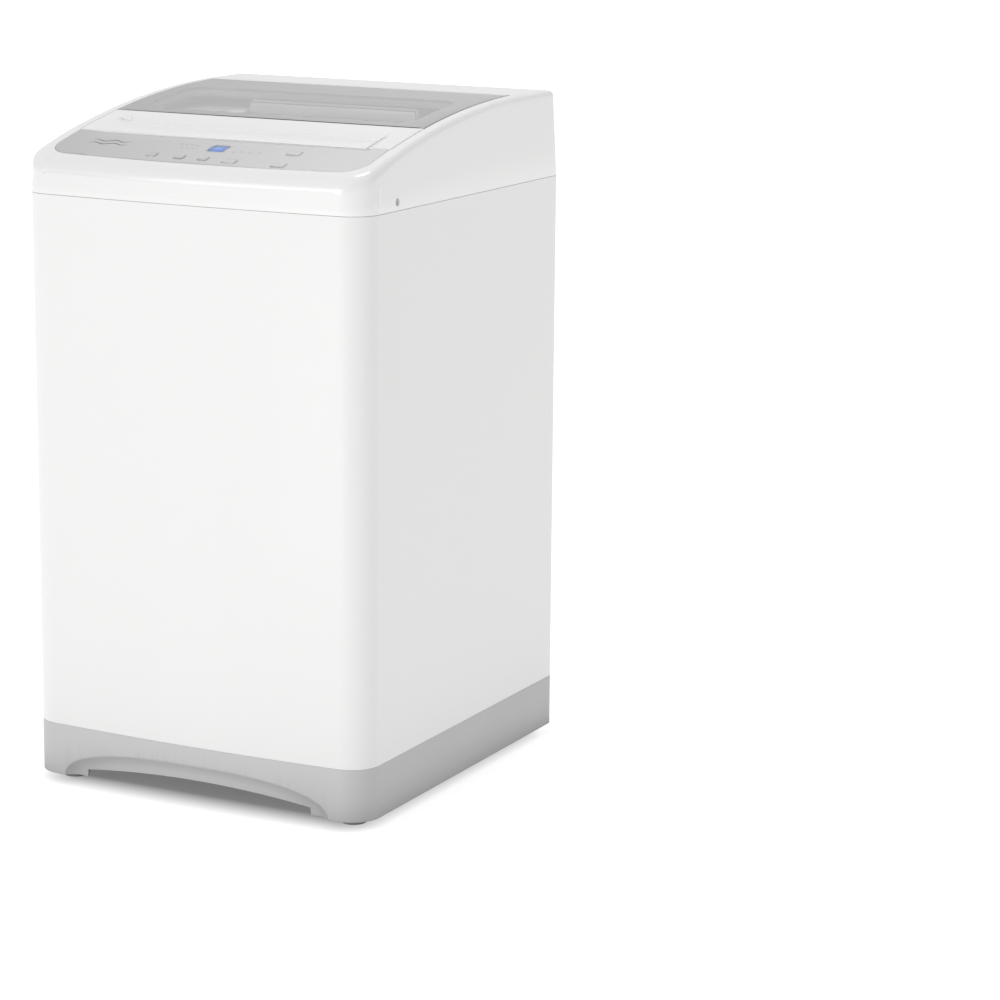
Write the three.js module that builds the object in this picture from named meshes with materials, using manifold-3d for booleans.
// A narrow top-loading washing machine: sheet-steel cabinet, plastic base and top cover, a sprung tub
// with its basket, pulsator and belt drive, a hinged glass lid, six keys and a detergent drawer.
// Millimetres. +X is to the right, the front faces -Y, +Z is up, the origin is on the floor.
import * as THREE from "three";
import { mergeVertices } from "three/addons/utils/BufferGeometryUtils.js";
import Module from "manifold-3d";

const wasm = await Module();
wasm.setup();

// ---------------------------------------------------------------- driving dimensions
const WIDTH = 527;
const DEPTH = 562;
const HEIGHT = 933;
const HALF_W = WIDTH / 2;
const HALF_D = DEPTH / 2;
const BOW = 10; // how far the front swells between its corners
const FRONT_RADIUS = 41;
const BACK_RADIUS = 8;
const GAP = 0.3; // assembly gap between touching pieces
const BASE_BOTTOM = 12;
const SKIRT = 84; // top of the base
const SEAM = 814; // joint between cabinet and top cover
const SHEET = 1; // steel sheet
const WALL = 3; // plastic wall
const DRAFT = Math.tan(THREE.MathUtils.degToRad(3)); // lean of the top cover's walls

// The top surface is level behind CREST_Y and falls towards the front as a parabola.
const CREST_Y = 200;
const FALL = 3.31e-4;

// Lid, seen from above.
const LID_X = 240;
const LID_FRONT = -162.8;
const STRIP_BACK = -72.6; // back edge of the white front strip
const HINGE_Y = 170;
const HINGE_R = 6;
const HINGE_Z = HEIGHT - HINGE_R;
const LID_THICK = 12;
const GLASS = 3;
const WELL_DEPTH = 26;
const WINDOW = { left: -215, right: 208, front: -53, back: 90, radius: 30 };
const MOUTH_R = 150;

// Tub and drive, all on the vertical axis through (0, TUB_Y).
const TUB_Y = -10;
const TUB_LOW = 300;
const TUB_HIGH = 775;
const BASKET_R = 196;
const ROD_OFFSET = 205; // rods stand this far from the tub axis in X and in Y
const MOTOR_X = -130;
const PULLEY_LOW = 148;
const PULLEY_HIGH = 166;
const LARGE_PULLEY_R = 72;
const SMALL_PULLEY_R = 22;
const GROOVE = 6;
const SUMP_X = 165; // outlet in the tub floor
const SUMP_Y = 60;

// ---------------------------------------------------------------- colours
const WHITE = 0xf1f1f0;
const PANEL_GREY = 0xbdbdbc;
const BASE_GREY = 0xc2c2c2;
const DARK = 0x3b3d40;
const STEEL = 0xb9bcbf;
const PALE = 0xe3e4e4;

// ---------------------------------------------------------------- solids
function solid(geometry) {
  const plain = geometry.clone();
  plain.deleteAttribute("normal");
  plain.deleteAttribute("uv");
  const merged = mergeVertices(plain, 1e-4);
  const vertProperties = merged.attributes.position.array;
  const triVerts = new Uint32Array(merged.index.array);
  return new wasm.Manifold(new wasm.Mesh({ numProp: 3, vertProperties, triVerts }));
}

function geometryOf(body) {
  const mesh = body.getMesh();
  const position = new THREE.BufferAttribute(new Float32Array(mesh.vertProperties), 3);
  const geometry = new THREE.BufferGeometry().setAttribute("position", position);
  geometry.setIndex(new THREE.BufferAttribute(new Uint32Array(mesh.triVerts), 1));
  geometry.computeVertexNormals();
  return geometry;
}

function join(...bodies) {
  return bodies.reduce((all, body) => all.add(body));
}

// A flat shape stood up from z0 to z1.
function prism(shape, z0, z1, curveSegments = 6) {
  const settings = { depth: z1 - z0, bevelEnabled: false, curveSegments };
  return solid(new THREE.ExtrudeGeometry(shape, settings).translate(0, 0, z0));
}

// A side profile in (y, z) run from x0 to x1.
function sidePrism(points, x0, x1) {
  const shape = new THREE.Shape(points.map(([y, z]) => new THREE.Vector2(y, z)));
  const geometry = new THREE.ExtrudeGeometry(shape, { depth: x1 - x0, bevelEnabled: false });
  const axes = new THREE.Matrix4().set(0, 0, 1, x0, 1, 0, 0, 0, 0, 1, 0, 0, 0, 0, 0, 1);
  return solid(geometry.applyMatrix4(axes));
}

// A front profile in (x, z) run from y0 to y1.
function frontPrism(shape, y0, y1, curveSegments = 8) {
  const settings = { depth: y1 - y0, bevelEnabled: false, curveSegments };
  const geometry = new THREE.ExtrudeGeometry(shape, settings);
  const axes = new THREE.Matrix4().set(1, 0, 0, 0, 0, 0, -1, y1, 0, 1, 0, 0, 0, 0, 0, 1);
  return solid(geometry.applyMatrix4(axes));
}

function box(x0, x1, y0, y1, z0, z1) {
  const geometry = new THREE.BoxGeometry(x1 - x0, y1 - y0, z1 - z0);
  return solid(geometry.translate((x0 + x1) / 2, (y0 + y1) / 2, (z0 + z1) / 2));
}

// Upright, across and front-to-back cylinders.
function post(r, z0, z1, x = 0, y = 0, sides = 12) {
  const geometry = new THREE.CylinderGeometry(r, r, z1 - z0, sides).rotateX(Math.PI / 2);
  return solid(geometry.translate(x, y, (z0 + z1) / 2));
}

function bar(r, x0, x1, y, z, sides = 12) {
  const geometry = new THREE.CylinderGeometry(r, r, x1 - x0, sides).rotateZ(Math.PI / 2);
  return solid(geometry.translate((x0 + x1) / 2, y, z));
}

function spigot(r, y0, y1, x, z, sides = 14) {
  const geometry = new THREE.CylinderGeometry(r, r, y1 - y0, sides);
  return solid(geometry.translate(x, (y0 + y1) / 2, z));
}

// A profile of (radius, z) points turned about the upright axis.
function turned(points, segments = 32, x = 0, y = 0) {
  const profile = points.map(([r, z]) => new THREE.Vector2(r, z));
  if (THREE.ShapeUtils.area(profile) < 0) profile.reverse();
  const onAxis = points[0][0] === 0 && points[points.length - 1][0] === 0;
  if (!onAxis) profile.push(profile[0].clone());
  const geometry = new THREE.LatheGeometry(profile, segments).rotateX(Math.PI / 2);
  return solid(geometry.translate(x, y, 0));
}

// A round section run along a curve.
function tube(curve, r, steps, sides = 8) {
  const corners = [];
  for (let i = 0; i < sides; i++) {
    const angle = (2 * Math.PI * i) / sides;
    corners.push(new THREE.Vector2(r * Math.cos(angle), r * Math.sin(angle)));
  }
  const settings = { steps, extrudePath: curve, bevelEnabled: false };
  return solid(new THREE.ExtrudeGeometry(new THREE.Shape(corners), settings));
}

function curveThrough(points, tension = 0.3) {
  const vectors = points.map(([x, y, z]) => new THREE.Vector3(x, y, z));
  return new THREE.CatmullRomCurve3(vectors, false, "catmullrom", tension);
}

// ---------------------------------------------------------------- shared shapes
// The cabinet's plan outline, moved in by inset: square back, round front corners, bowed front.
function outline(inset) {
  const x = HALF_W - inset;
  const back = HALF_D - inset;
  const front = -HALF_D + inset;
  const rf = FRONT_RADIUS - inset;
  const rb = Math.max(BACK_RADIUS - inset, 1);
  const cornerY = front + BOW * ((x - rf) / x) ** 2;
  const shape = new THREE.Shape();
  shape.absarc(x - rb, back - rb, rb, 0, Math.PI / 2);
  shape.absarc(-x + rb, back - rb, rb, Math.PI / 2, Math.PI);
  shape.absarc(-x + rf, cornerY + rf, rf, Math.PI, 1.5 * Math.PI);
  shape.quadraticCurveTo(0, 2 * front - cornerY, x - rf, cornerY);
  shape.absarc(x - rf, cornerY + rf, rf, 1.5 * Math.PI, 2 * Math.PI);
  return shape;
}

function roundedRect(x0, x1, y0, y1, r) {
  const shape = new THREE.Shape();
  shape.absarc(x1 - r, y1 - r, r, 0, Math.PI / 2);
  shape.absarc(x0 + r, y1 - r, r, Math.PI / 2, Math.PI);
  shape.absarc(x0 + r, y0 + r, r, Math.PI, 1.5 * Math.PI);
  shape.absarc(x1 - r, y0 + r, r, 1.5 * Math.PI, 2 * Math.PI);
  return shape;
}

// A rounded rectangular post that runs past the top surface.
function topPost(x0, x1, y0, y1, r) {
  return prism(roundedRect(x0, x1, y0, y1, r), SEAM - 40, HEIGHT + 20, 4);
}

function topZ(y) {
  return HEIGHT - FALL * Math.max(0, CREST_Y - y) ** 2;
}

// Points along the top surface, lowered by drop, from y0 to y1.
function topLine(y0, y1, drop) {
  const step = 50;
  const points = [[y0, topZ(y0) - drop]];
  for (let y = (Math.floor(y0 / step) + 1) * step; y < y1; y += step) points.push([y, topZ(y) - drop]);
  points.push([y1, topZ(y1) - drop]);
  return points;
}

// The layer between two depths below the top surface.
function layer(shallow, deep, y0 = -300, y1 = 300) {
  return sidePrism([...topLine(y0, y1, deep), ...topLine(y0, y1, shallow).reverse()], -300, 300);
}

// ---------------------------------------------------------------- cabinet
function cabinetShell() {
  const low = SKIRT + 0.5;
  const high = SEAM - 0.5;
  const wrap = prism(outline(0), low, high).subtract(prism(outline(SHEET), low - 1, high + 1));
  const flangeX = 238;
  let shell = wrap.subtract(box(-flangeX, flangeX, 270, 290, low - 1, high + 1));
  const gusset = new THREE.Shape(
    [[262, 240], [262, 150], [240, 150], [185, 195], [185, 225], [200, 240]].map(
      ([x, y]) => new THREE.Vector2(x, y),
    ),
  );
  const plate = prism(gusset, 757, 760).subtract(post(6, 750, 770, ROD_OFFSET, TUB_Y + ROD_OFFSET));
  const inside = prism(outline(SHEET / 2), 750, 770);
  for (const flipX of [0, 1]) {
    for (const flipY of [0, 1]) {
      let corner = flipX ? plate.mirror([1, 0, 0]) : plate;
      if (flipY) corner = corner.mirror([0, 1, 0]).translate([0, 2 * TUB_Y, 0]);
      shell = shell.add(corner.translate([flipX ? -0.7 : 0.7, 0, 0]).intersect(inside));
    }
  }
  return shell;
}

const RECESS_X = 233;
const RECESS_Y = 245;
const HOSE_X = 100;
const PORT_Z = 225;
const CORD_X = -150;
const CORD_Z = 640;
const VALVE_Z = 725;
const VALVE_X = [130, 185];

function rearPanel() {
  const pan = box(-RECESS_X, RECESS_X, RECESS_Y, HALF_D - 1.3, 110, 790);
  const hollow = box(-RECESS_X + 1, RECESS_X - 1, RECESS_Y + 1, HALF_D + 5, 111, 789);
  const flange = box(-250, 250, HALF_D - 2.3, HALF_D - 1.3, SKIRT + 4, SEAM - 4);
  let panel = join(flange, pan).subtract(hollow);
  panel = panel.subtract(spigot(17, 240, 250, HOSE_X, PORT_Z + 3));
  panel = panel.subtract(spigot(6, 240, 250, CORD_X, CORD_Z));
  for (const x of VALVE_X) panel = panel.subtract(spigot(14, 240, 250, x, VALVE_Z));
  return panel;
}

// The arch of the toe recess: half width and height of its top.
const ARCH_X = 209;
const ARCH_TOP = 58;
const LEG_X = 177; // inner ends of the corner legs

function archShape(grow) {
  const x = ARCH_X + grow;
  const top = ARCH_TOP + grow;
  const shape = new THREE.Shape();
  shape.moveTo(x, BASE_BOTTOM - 5);
  shape.bezierCurveTo(x, top - 22, x - 45, top - 8, 100, top - 5);
  shape.quadraticCurveTo(0, top + 5, -100, top - 5);
  shape.bezierCurveTo(-x + 45, top - 8, -x, top - 22, -x, BASE_BOTTOM - 5);
  return shape;
}

function legGap() {
  const shape = new THREE.Shape();
  shape.moveTo(LEG_X, 0);
  shape.lineTo(LEG_X, 22);
  shape.quadraticCurveTo(0, 46, -LEG_X, 22);
  shape.lineTo(-LEG_X, 0);
  return shape;
}

const FOOT_X = 222;
const FOOT_Y = [-228, 238];

function baseFrame() {
  const recess = 11;
  const skirt = prism(outline(0), BASE_BOTTOM, SKIRT).subtract(prism(outline(WALL), 0, 100));
  const toe = prism(outline(1), BASE_BOTTOM, SKIRT)
    .subtract(prism(outline(recess + WALL), 0, 100))
    .intersect(frontPrism(archShape(4), -HALF_D - 10, -230));
  const hollow = prism(outline(-2), 0, 100)
    .subtract(prism(outline(recess), -1, 101))
    .intersect(frontPrism(archShape(0), -HALF_D - 10, -230));
  let base = skirt.add(toe).subtract(hollow);
  base = base.subtract(frontPrism(legGap(), -HALF_D - 10, -230));
  for (const side of [-1, 1]) {
    for (const y of FOOT_Y) {
      const x = side * FOOT_X;
      const pad = box(x - 38, x + 38, y - 38, y + 38, 36, 41).intersect(prism(outline(2), 0, 100));
      base = base.add(pad).add(post(12, 30, 50, x, y));
      base = base.subtract(post(5.4, 20, 60, x, y));
    }
  }
  return base;
}

function levellingFoot() {
  return turned([[0, 0], [17, 0], [19, 3], [19, 7], [15, 10], [4.8, 10.5], [4.8, 48], [0, 48]], 12);
}

// ---------------------------------------------------------------- top cover
// The cover's outer form, moved in by inset: drafted walls under the curved top, with soft edges.
function coverForm(inset, low) {
  const walls = new THREE.ExtrudeGeometry(outline(inset), {
    depth: HEIGHT + 30 - low,
    bevelEnabled: false,
    curveSegments: 6,
  }).translate(0, 0, low);
  const place = walls.attributes.position;
  for (let i = 0; i < place.count; i++) {
    const lean = Math.max(0, place.getZ(i) - SEAM) * DRAFT;
    place.setX(i, place.getX(i) * (1 - lean / HALF_W));
    place.setY(i, place.getY(i) * (1 - lean / HALF_D));
  }
  const front = -HALF_D + inset;
  const brow = -256;
  const side = new THREE.Shape();
  side.moveTo(front - 12, low - 40);
  side.lineTo(HALF_D + 40, low - 40);
  side.lineTo(HALF_D + 40, HEIGHT - inset);
  for (const [y, z] of topLine(brow, HALF_D, inset).reverse()) side.lineTo(y, z);
  side.quadraticCurveTo(front + 3, topZ(brow) - inset - 7, front + 1, SEAM + 26);
  const softness = 18 - inset;
  const crown = new THREE.ExtrudeGeometry(side, {
    depth: 2 * (HALF_W - inset - softness),
    bevelThickness: softness,
    bevelSize: softness,
    bevelOffset: -softness,
    bevelSegments: 2,
    curveSegments: 4,
  }).translate(0, 0, inset + softness - HALF_W);
  crown.applyMatrix4(new THREE.Matrix4().set(0, 0, 1, 0, 1, 0, 0, 0, 0, 1, 0, 0, 0, 0, 0, 1));
  return solid(walls).intersect(solid(crown));
}

// The control panel's plan outline, moved out by grow.
const PANEL_BACK = -164.2;

function panelShape(grow) {
  const x = 239 + grow;
  const r = 35 + grow;
  const cornerY = -248 - grow;
  const shape = new THREE.Shape();
  shape.moveTo(x, PANEL_BACK + grow);
  shape.lineTo(-x, PANEL_BACK + grow);
  shape.absarc(-x + r, cornerY + r, r, Math.PI, 1.5 * Math.PI);
  shape.quadraticCurveTo(0, -260 - grow, x - r, cornerY);
  shape.absarc(x - r, cornerY + r, r, 1.5 * Math.PI, 2 * Math.PI);
  return shape;
}

function panelPost(grow) {
  return prism(panelShape(grow), SEAM - 40, HEIGHT + 20);
}

const DISPENSER = { left: -125, right: 140, front: 92, back: 172, low: 868, high: 915 };
const SCREW_Y = -186;
const SCREW_Z = 825;

function topCover() {
  const wellWall = topPost(-LID_X - 3.8, LID_X + 3.8, LID_FRONT - 3.8, HINGE_Y + 11.5, 6);
  const well = topPost(-LID_X - 0.8, LID_X + 0.8, LID_FRONT - 0.8, HINGE_Y + 8.5, 4);
  const outer = MOUTH_R + WALL;
  const neck = turned([[MOUTH_R, 800], [outer, 800], [outer, 915], [MOUTH_R, 915]], 32, 0, TUB_Y);
  let cover = coverForm(0, SEAM).subtract(coverForm(WALL, SEAM - 5));
  cover = cover.add(wellWall.intersect(layer(0.5, WELL_DEPTH + WALL)));
  cover = cover.add(neck.intersect(layer(WELL_DEPTH, 200)));
  cover = cover.add(panelPost(3.5).intersect(layer(0.5, 6.5)));
  cover = cover.subtract(well.intersect(layer(-20, WELL_DEPTH)));
  cover = cover.subtract(post(MOUTH_R, SEAM - 30, HEIGHT + 20, 0, TUB_Y, 32));
  cover = cover.subtract(panelPost(0.4).intersect(layer(-20, 3.3)));
  cover = cover.subtract(box(-95, 140, -250, -184, SEAM + 10, HEIGHT));
  const d = DISPENSER;
  cover = cover.subtract(
    box(d.left - 0.6, d.right + 0.6, d.front - 72, d.back + 0.6, d.low - 6, HEIGHT + 20),
  );
  cover = cover.subtract(bar(3.4, -LID_X - 5, LID_X + 5, HINGE_Y, HINGE_Z));
  for (const side of [-1, 1]) {
    const boss = side > 0 ? [252, 262] : [-262, -252];
    const sink = side > 0 ? [258, 270] : [-270, -258];
    const hole = side > 0 ? [245, 270] : [-270, -245];
    cover = cover.add(bar(8, ...boss, SCREW_Y, SCREW_Z));
    cover = cover.subtract(bar(5, ...sink, SCREW_Y, SCREW_Z));
    cover = cover.subtract(bar(2.4, ...hole, SCREW_Y, SCREW_Z));
  }
  return cover;
}

function sideScrew(side) {
  const head = side > 0 ? [258.4, 260.4] : [-260.4, -258.4];
  const shank = side > 0 ? [244, 259] : [-259, -244];
  return join(bar(4.5, ...head, SCREW_Y, SCREW_Z), bar(1.9, ...shank, SCREW_Y, SCREW_Z, 10));
}

// ---------------------------------------------------------------- controls
const KEYS = [
  { name: "water_level_key", x: -79, y: -234, w: 14, h: 11 },
  { name: "temperature_key", x: -36, y: -235, w: 14, h: 11 },
  { name: "program_key", x: 1, y: -235, w: 14, h: 11 },
  { name: "soil_key", x: 43, y: -239, w: 20, h: 12 },
  { name: "start_pause_key", x: 118, y: -240, w: 20, h: 12 },
  { name: "power_key", x: 118, y: -200, w: 20, h: 12 },
];
const DISPLAY = { x: 2.5, y: -200.5, w: 25, h: 21 };
const PANEL_SLOPE = Math.atan(2 * FALL * (CREST_Y + 225));

// A box on the sloping panel: w by h at (x, y), between two heights along the panel's normal.
function sloped({ x, y, w, h }, low, high, grow = 0) {
  const geometry = new THREE.BoxGeometry(w + 2 * grow, h + 2 * grow, high - low);
  geometry.translate(0, 0, (low + high) / 2).rotateX(PANEL_SLOPE).translate(x, y, topZ(y));
  return solid(geometry);
}

function controlPanel() {
  let panel = panelPost(0).intersect(layer(0, 3));
  for (const key of KEYS) panel = panel.subtract(sloped(key, -8, 8, 0.5));
  panel = panel.subtract(sloped(DISPLAY, -8, 8, 0.4));
  for (const x of [-91, 137]) {
    for (const y of [-244, -188]) {
      panel = panel.add(post(2.5, topZ(y) - 9.6, topZ(y) - 2, x, y, 10));
    }
  }
  return panel;
}

function controlBoard() {
  return topPost(-93, 139, -248, -185, 2).intersect(layer(10.6, 12.2));
}

function controlKey(key) {
  return join(sloped(key, -4, 1.2), sloped(key, -5.2, -3.7, 1.6));
}

// ---------------------------------------------------------------- lid
function lidFrame() {
  const strip = topPost(-LID_X, LID_X, LID_FRONT, STRIP_BACK, 4).intersect(layer(0, LID_THICK));
  const tongue = topPost(-232, 232, STRIP_BACK - 5, -58, 2).intersect(layer(5.9, LID_THICK));
  const edge = topZ(LID_FRONT);
  const heel = sidePrism(
    [
      [LID_FRONT - 2, edge - 1],
      [LID_FRONT, edge - 1],
      [LID_FRONT + 2.6, edge - LID_THICK - 1],
      [LID_FRONT - 2, edge - LID_THICK - 1],
    ],
    -LID_X - 1,
    LID_X + 1,
  );
  const trough = sidePrism(
    [
      [-108, topZ(-108) + 0.5],
      [-150, topZ(-150) + 10],
      [-150, topZ(-150) - 9],
      [-143, topZ(-143) - 9],
    ],
    -205,
    205,
  );
  const relief = topPost(-230, 230, -103, -78, 3).intersect(layer(3.5, 30));
  return strip.add(tongue).subtract(heel).subtract(trough).subtract(relief);
}

function windowPost(grow) {
  const { left, right, front, back, radius } = WINDOW;
  return topPost(left - grow, right + grow, front - grow, back + grow, radius + grow);
}

function lidTrim() {
  const under = GLASS + GAP;
  let trim = topPost(-LID_X, LID_X, STRIP_BACK + 0.6, HINGE_Y, 2).intersect(layer(under, LID_THICK));
  trim = trim.add(bar(HINGE_R, -LID_X, LID_X, HINGE_Y, HINGE_Z, 24));
  trim = trim.subtract(topPost(-232.6, 232.6, -90, -57.4, 2).intersect(layer(5.5, 30)));
  const pocket = topPost(-236, 236, -54, 160, 4).subtract(windowPost(3)).intersect(layer(5.5, 30));
  trim = trim.subtract(pocket).subtract(windowPost(0));
  for (const [x0, x1] of [[-250, -221], [221, 250]]) {
    trim = trim.subtract(bar(3.3, x0, x1, HINGE_Y, HINGE_Z));
  }
  return trim;
}

function lidGlass() {
  const back = HINGE_Y - 6.1;
  return topPost(-LID_X + 0.6, LID_X - 0.6, STRIP_BACK + 0.9, back, 3).intersect(layer(0, GLASS));
}

function hingePin(side) {
  return side > 0 ? bar(2.9, 222, 244.6, HINGE_Y, HINGE_Z) : bar(2.9, -244.6, -222, HINGE_Y, HINGE_Z);
}

// ---------------------------------------------------------------- detergent dispenser
function dispenserHousing() {
  const { left, right, front, back, low, high } = DISPENSER;
  const shell = box(left, right, front, back, low, high);
  return shell.subtract(box(left + 3, right - 3, front - 5, back - 3, low + 3, high - 3.5));
}

function dispenserDrawer() {
  const { left, right, front, back, low, high } = DISPENSER;
  const tray = box(left + 4, right - 4, front - 2, back - 4, low + 4, high - 8);
  const lip = box(left + 1, right - 1, front - 7, front - 1, low + 2, high - 7);
  const wall = 2.5;
  const middle = (left + right) / 2 + 30;
  const bays = join(
    box(left + 4 + wall, middle - 1, front + wall, back - 4 - wall, low + 4 + wall, high),
    box(middle + 1, right - 4 - wall, front + wall, back - 4 - wall, low + 4 + wall, high),
  );
  const grip = box(-32, 47, front - 8, front - 4.5, low + 18, high - 14);
  return tray.add(lip).subtract(bays).subtract(grip);
}

// ---------------------------------------------------------------- tub and basket
function outerTub() {
  const z0 = TUB_LOW;
  const z1 = TUB_HIGH;
  let tub = turned([[26, z0], [218, z0], [222, z1], [219, z1], [215, z0 + 6], [26, z0 + 6]], 32, 0, TUB_Y);
  for (const side of [-1, 1]) {
    for (const end of [-1, 1]) {
      const arm = new THREE.BoxGeometry(82, 34, 13).translate(259, 0, 385.2);
      arm.rotateZ(Math.atan2(end, side)).translate(0, TUB_Y, 0);
      tub = tub.add(solid(arm));
      tub = tub.subtract(post(5.5, 370, 400, side * ROD_OFFSET, TUB_Y + end * ROD_OFFSET));
    }
  }
  tub = tub.add(post(13, z0 - 8, z0 + 1, SUMP_X, SUMP_Y));
  return tub.subtract(post(9, z0 - 10, z0 + 8, SUMP_X, SUMP_Y));
}

function tubCoverRing() {
  const z = TUB_HIGH + 0.6;
  const profile = [[178, z], [225, z], [225, z + 4], [181, z + 4], [181, z + 20], [178, z + 20]];
  return turned(profile, 32, 0, TUB_Y);
}

function washBasket() {
  const r = BASKET_R;
  return turned([[r - 1, 334], [r, 334], [r, 738], [r - 1, 738]], 32, 0, TUB_Y);
}

function basketBase() {
  const r = BASKET_R - 1.7;
  const profile = [[15.7, 330], [r, 330], [r, 346], [r - 5, 346], [r - 5, 336], [40, 336], [34, 346], [15.7, 346]];
  return turned(profile, 32, 0, TUB_Y);
}

function balanceRing() {
  return turned([[178, 739], [201, 739], [201, 766], [197, 770], [182, 770], [176, 762]], 32, 0, TUB_Y);
}

function lintFilter() {
  return box(-22, 22, TUB_Y + 178, TUB_Y + 191, 520, 640);
}

function pulsator() {
  const profile = [
    [8.5, 348],
    [160, 348],
    [165, 352],
    [160, 356],
    [70, 362],
    [34, 378],
    [22, 386],
    [9.5, 386],
    [9.5, 377],
    [3.3, 377],
    [3.3, 365.2],
    [8.5, 365.2],
  ];
  let wheel = turned(profile, 32, 0, TUB_Y);
  const vanes = 6;
  for (let i = 0; i < vanes; i++) {
    const vane = new THREE.BoxGeometry(110, 12, 26).translate(95, 0, 363);
    vane.rotateZ((2 * Math.PI * i) / vanes).translate(0, TUB_Y, 0);
    wheel = wheel.add(solid(vane));
  }
  return wheel;
}

function pulsatorScrew() {
  return turned([[0, 352], [2.8, 352], [2.8, 377.5], [8.5, 377.5], [8.5, 382], [0, 383]], 16, 0, TUB_Y);
}

function driveShaft() {
  return turned([[0, 140], [8, 140], [8, 364.7], [3.3, 364.7], [3.3, 350], [0, 350]], 24, 0, TUB_Y);
}

function spinShaft() {
  return turned([[8.5, 200], [15, 200], [15, 345], [8.5, 345]], 24, 0, TUB_Y);
}

function shaftSeal() {
  return turned([[15.9, 299.8], [25.4, 299.8], [25.4, 308], [18, 308]], 24, 0, TUB_Y);
}

// ---------------------------------------------------------------- drive
function gearcase() {
  const profile = [
    [8.7, 180],
    [40, 180],
    [55, 196],
    [55, 280],
    [46, 291],
    [15.8, 291],
    [15.8, 188],
    [8.7, 188],
  ];
  return turned(profile, 28, 0, TUB_Y);
}

function mountingBracket() {
  const plate = prism(roundedRect(-195, 150, TUB_Y - 60, TUB_Y + 60, 20), 292, 299.4, 4);
  return plate.subtract(post(27, 280, 310, 0, TUB_Y, 24));
}

function pulley(r, bore, x) {
  const low = PULLEY_LOW;
  const high = PULLEY_HIGH;
  const profile = [
    [bore, low],
    [r, low],
    [r, low + 3],
    [r - GROOVE, low + 7],
    [r - GROOVE, high - 7],
    [r, high - 3],
    [r, high],
    [bore, high],
  ];
  return turned(profile, 24, x, TUB_Y);
}

function motor() {
  const can = turned([[0, 190], [50, 190], [58, 197], [58, 273], [50, 280], [0, 280]], 28, MOTOR_X, TUB_Y);
  let body = can.subtract(post(6.6, 180, 203, MOTOR_X, TUB_Y));
  for (let i = 0; i < 3; i++) {
    const angle = (2 * Math.PI * i) / 3;
    body = body.add(post(5, 275, 291.5, MOTOR_X + 40 * Math.cos(angle), TUB_Y + 40 * Math.sin(angle), 10));
  }
  return body;
}

// The belt's loop with its inner face run away from each pulley's groove by lift.
function beltShape(lift, Path) {
  const large = LARGE_PULLEY_R - GROOVE + lift;
  const small = SMALL_PULLEY_R - GROOVE + lift;
  const lean = Math.PI - Math.acos((large - small) / Math.abs(MOTOR_X));
  const path = new Path();
  path.absarc(0, TUB_Y, large, -lean, lean);
  path.absarc(MOTOR_X, TUB_Y, small, lean, 2 * Math.PI - lean);
  path.closePath();
  return path;
}

function driveBelt() {
  const loop = beltShape(5, THREE.Shape);
  loop.holes.push(beltShape(1.5, THREE.Path));
  const middle = (PULLEY_LOW + PULLEY_HIGH) / 2;
  return prism(loop, middle - 1.7, middle + 1.7, 16);
}

const PUMP_X = 100;
const PUMP_Y = 75;

function drainPump() {
  const can = turned([[0, 205], [24, 205], [30, 211], [30, 255], [22, 262], [0, 262]], 24, PUMP_X, PUMP_Y);
  const hanger = post(6, 255, 291.5, PUMP_X - 8, PUMP_Y - 26, 10);
  return join(can, spigot(9, PUMP_Y + 20, PUMP_Y + 60, HOSE_X, PORT_Z), hanger);
}

function sumpHose() {
  const start = [SUMP_X, SUMP_Y, TUB_LOW - 8.5];
  const end = [PUMP_X + 37, PUMP_Y, 236];
  const path = curveThrough([start, [SUMP_X, SUMP_Y, 262], [SUMP_X - 6, SUMP_Y + 5, 243], end]);
  return tube(path, 10, 12);
}

function drainHose() {
  const y = 262.3;
  const x = HOSE_X;
  const path = curveThrough([
    [x, PUMP_Y + 72, PORT_Z],
    [x, 225, PORT_Z],
    [x, 248, PORT_Z + 4],
    [x, y, PORT_Z + 26],
    [x, y, 420],
    [x, y, 600],
    [x - 14, y, 648],
    [x - 50, y, 664],
    [x - 86, y, 648],
    [x - 100, y, 600],
    [x - 100, y, 440],
  ]);
  return tube(path, 12.5, 34, 8);
}

function powerCord() {
  const y = 262;
  const cord = curveThrough([
    [CORD_X, 236, CORD_Z],
    [CORD_X, 252, CORD_Z - 2],
    [CORD_X, y, CORD_Z - 22],
    [CORD_X, y, 380],
    [CORD_X + 18, y, 326],
    [CORD_X + 52, y, 326],
    [CORD_X + 70, y, 380],
    [CORD_X + 70, y, 470],
  ]);
  const plugX = CORD_X + 70;
  const plug = box(plugX - 13, plugX + 13, y - 11, y + 11, 465, 496);
  const blades = join(
    box(plugX - 8, plugX - 6.4, y - 3.5, y + 3.5, 490, 512),
    box(plugX + 6.4, plugX + 8, y - 3.5, y + 3.5, 490, 512),
  );
  return join(tube(cord, 4, 28, 6), plug, blades);
}

function inletValve(x) {
  const block = box(x - 18, x + 18, 206, 243, VALVE_Z - 22, VALVE_Z + 24);
  const nipple = spigot(13, 240, 277, x, VALVE_Z).subtract(spigot(9, 250, 280, x, VALVE_Z));
  return join(block, nipple);
}

function waterLevelSensor() {
  const can = turned([[0, 836], [18, 836], [20, 840], [20, 856], [14, 860], [0, 860]], 20, -205, 232);
  return can.add(post(3, 826, 838, -205, 232, 8));
}

// ---------------------------------------------------------------- suspension
const SPRING_LOW = 306;
const SPRING_HIGH = 378;

function suspensionRod() {
  const profile = [
    [0, 292],
    [6, 292],
    [6, 301],
    [17, 301],
    [17, SPRING_LOW - 0.6],
    [4, SPRING_LOW - 0.6],
    [4, 758],
    [4, 760.5],
    [9, 760.5],
    [9, 766],
    [0, 769],
  ];
  return turned(profile, 10);
}

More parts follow.
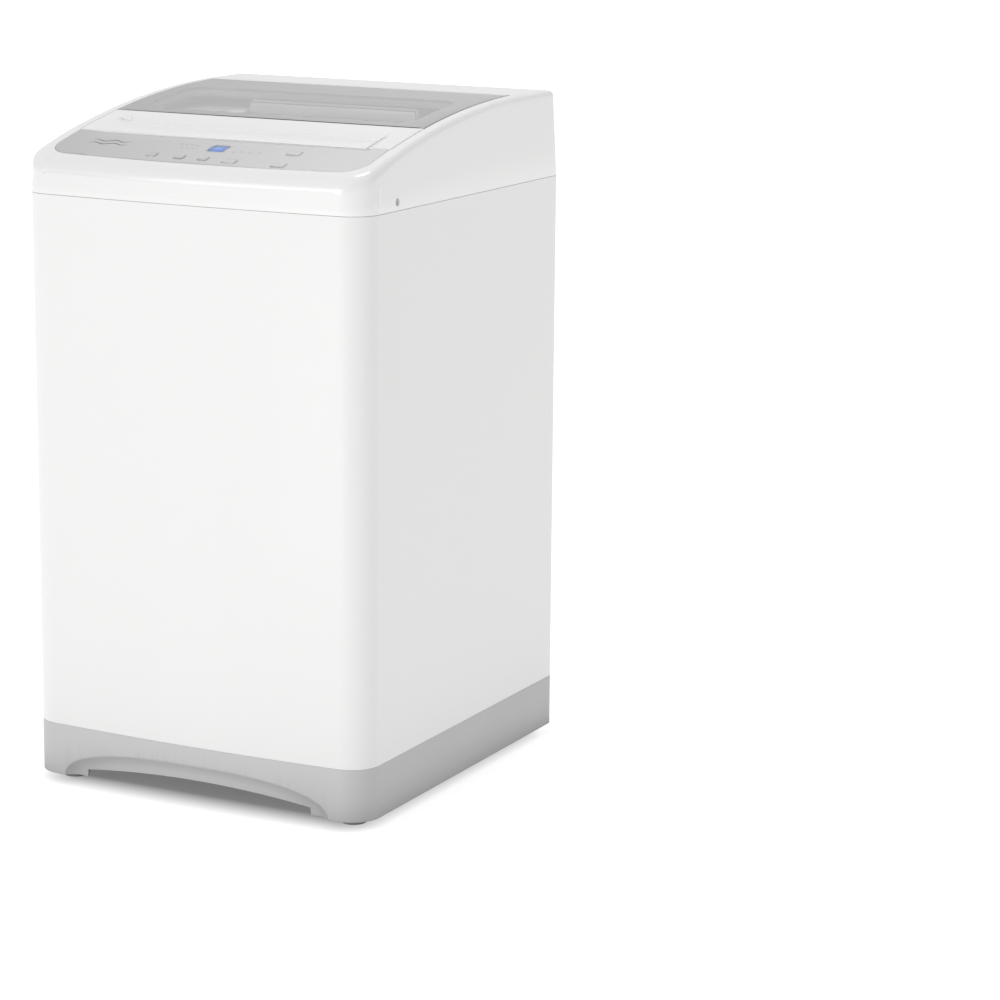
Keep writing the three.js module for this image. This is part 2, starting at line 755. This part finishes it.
class Helix extends THREE.Curve {
  constructor(r, low, high, turns) {
    super();
    Object.assign(this, { r, low, high, turns });
  }
  getPoint(t) {
    const angle = 2 * Math.PI * this.turns * t;
    const z = THREE.MathUtils.lerp(this.low, this.high, t);
    return new THREE.Vector3(this.r * Math.cos(angle), this.r * Math.sin(angle), z);
  }
}

function suspensionSpring() {
  const wire = 1.6;
  return tube(new Helix(12, SPRING_LOW + wire, SPRING_HIGH - wire, 4), wire, 36, 4);
}

// ---------------------------------------------------------------- assembly
const washer = new THREE.Group();

function finish(color, roughness, metalness = 0) {
  return new THREE.MeshStandardMaterial({ color, roughness, metalness });
}

function assembly(name) {
  const group = new THREE.Group();
  group.name = name;
  washer.add(group);
  return group;
}

function place(group, name, body, material, x = 0, y = 0) {
  const mesh = new THREE.Mesh(geometryOf(body), material);
  mesh.name = name;
  mesh.position.set(x, y, 0);
  group.add(mesh);
}

const whitePlastic = () => finish(WHITE, 0.35);
const greyPlastic = () => finish(BASE_GREY, 0.5);
const steel = () => finish(STEEL, 0.3, 1);
const dark = () => finish(DARK, 0.7);

const cabinet = assembly("cabinet");
place(cabinet, "cabinet_shell", cabinetShell(), finish(WHITE, 0.3));
place(cabinet, "rear_panel", rearPanel(), finish(PALE, 0.4));
place(cabinet, "base_frame", baseFrame(), greyPlastic());
place(cabinet, "top_cover", topCover(), whitePlastic());
place(cabinet, "control_panel", controlPanel(), finish(PANEL_GREY, 0.35));
place(cabinet, "display_window", sloped(DISPLAY, -2.6, -0.2), finish(0x3468c0, 0.1));
place(cabinet, "control_board", controlBoard(), finish(0x2e6b45, 0.6));
place(cabinet, "dispenser_housing", dispenserHousing(), whitePlastic());
place(cabinet, "hot_inlet_valve", inletValve(VALVE_X[0]), finish(0xb04038, 0.5));
place(cabinet, "cold_inlet_valve", inletValve(VALVE_X[1]), finish(0x3a62a8, 0.5));
place(cabinet, "water_level_sensor", waterLevelSensor(), dark());
place(cabinet, "lid_switch", box(245, 255, 100, 130, 880, 896), dark());
place(cabinet, "power_cord", powerCord(), dark());
place(cabinet, "drain_hose", drainHose(), finish(0x9a9d9f, 0.6));
place(cabinet, "side_screw_left", sideScrew(-1), steel());
place(cabinet, "side_screw_right", sideScrew(1), steel());

const corners = [
  ["front_left", -1, 0],
  ["front_right", 1, 0],
  ["rear_left", -1, 1],
  ["rear_right", 1, 1],
];
const supports = assembly("supports");
for (const [where, side, end] of corners) {
  const rodY = TUB_Y + (end ? ROD_OFFSET : -ROD_OFFSET);
  place(supports, "levelling_foot_" + where, levellingFoot(), dark(), side * FOOT_X, FOOT_Y[end]);
  place(supports, "suspension_rod_" + where, suspensionRod(), steel(), side * ROD_OFFSET, rodY);
  place(supports, "suspension_spring_" + where, suspensionSpring(), steel(), side * ROD_OFFSET, rodY);
}

const keys = assembly("keys");
for (const key of KEYS) place(keys, key.name, controlKey(key), finish(PANEL_GREY, 0.4));

const lid = assembly("lid");
place(lid, "lid_frame", lidFrame(), whitePlastic());
place(lid, "lid_trim", lidTrim(), finish(PANEL_GREY, 0.4));
place(lid, "lid_glass", lidGlass(), finish(0xdfe6e8, 0.05));
place(lid, "lid_hinge_pin_left", hingePin(-1), steel());
place(lid, "lid_hinge_pin_right", hingePin(1), steel());

const drawer = assembly("drawer");
place(drawer, "dispenser_drawer", dispenserDrawer(), whitePlastic());

const tub = assembly("tub");
place(tub, "outer_tub", outerTub(), finish(PALE, 0.5));
place(tub, "tub_cover_ring", tubCoverRing(), finish(PALE, 0.5));
place(tub, "shaft_seal", shaftSeal(), dark());
place(tub, "gearcase", gearcase(), finish(STEEL, 0.5, 1));
place(tub, "mounting_bracket", mountingBracket(), steel());
place(tub, "motor", motor(), finish(0x8d9093, 0.45, 1));
place(tub, "drive_belt", driveBelt(), finish(0x1c1c1d, 0.8));
place(tub, "drain_pump", drainPump(), dark());
place(tub, "sump_hose", sumpHose(), finish(0x2b2b2c, 0.7));

const basket = assembly("basket");
place(basket, "wash_basket", washBasket(), steel());
place(basket, "basket_base", basketBase(), finish(PALE, 0.5));
place(basket, "balance_ring", balanceRing(), finish(PALE, 0.4));
place(basket, "lint_filter", lintFilter(), finish(0x8fb0c8, 0.6));
place(basket, "spin_shaft", spinShaft(), steel());

const agitator = assembly("agitator");
place(agitator, "pulsator", pulsator(), finish(0xd7d9da, 0.4));
place(agitator, "pulsator_screw", pulsatorScrew(), steel());
place(agitator, "drive_shaft", driveShaft(), steel());
place(agitator, "large_pulley", pulley(LARGE_PULLEY_R, 8.5, 0), finish(STEEL, 0.45, 1));

const rotor = assembly("rotor");
const motorShaft = turned([[0, 140], [6, 140], [6, 200], [0, 200]], 16, MOTOR_X, TUB_Y);
place(rotor, "motor_shaft", motorShaft, steel());
place(rotor, "motor_pulley", pulley(SMALL_PULLEY_R, 6.4, MOTOR_X), finish(STEEL, 0.45, 1));

export default washer;
